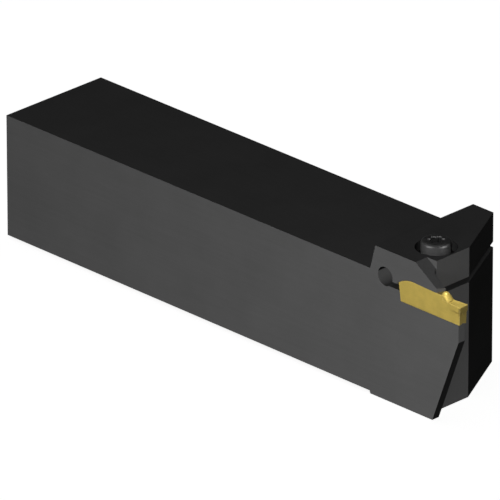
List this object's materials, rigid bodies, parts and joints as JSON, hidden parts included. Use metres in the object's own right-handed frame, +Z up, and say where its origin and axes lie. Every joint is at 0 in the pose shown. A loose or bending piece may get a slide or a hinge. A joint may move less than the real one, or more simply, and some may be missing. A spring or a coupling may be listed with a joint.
{
  "type": "turning tool holder",
  "caption": "Square-shank lathe tool holder for parting and grooving, with a thin blade, a sprung jaw, a gold-coloured carbide insert and a clamp screw on top.",
  "frame": {"origin": "centre of the square shank's rear end face", "axes": "+X along the shank to the cutting edge, +Y to the holder's back, -Y to the insert's side, +Z up"},
  "size_m": [0.1539, 0.0335, 0.041],
  "materials": {
    "dark_steel": "ground steel with a dark oxide finish",
    "gold_coating": "satin gold-coloured coating on carbide",
    "screw_steel": "black oxide, glossy"
  },
  "bodies": {
    "holder": {"holder_body": "dark_steel", "cutting_insert": "gold_coating"},
    "screw": {"clamp_screw": "screw_steel"}
  },
  "joints": [
    {"name": "clamp_screw_turn", "type": "hinge", "parent": "holder", "child": "screw", "pos_m": [0.1363, -0.00635, 0.0199], "axis": [0, 0, 1], "range_deg": [0, 540]}
  ]
}
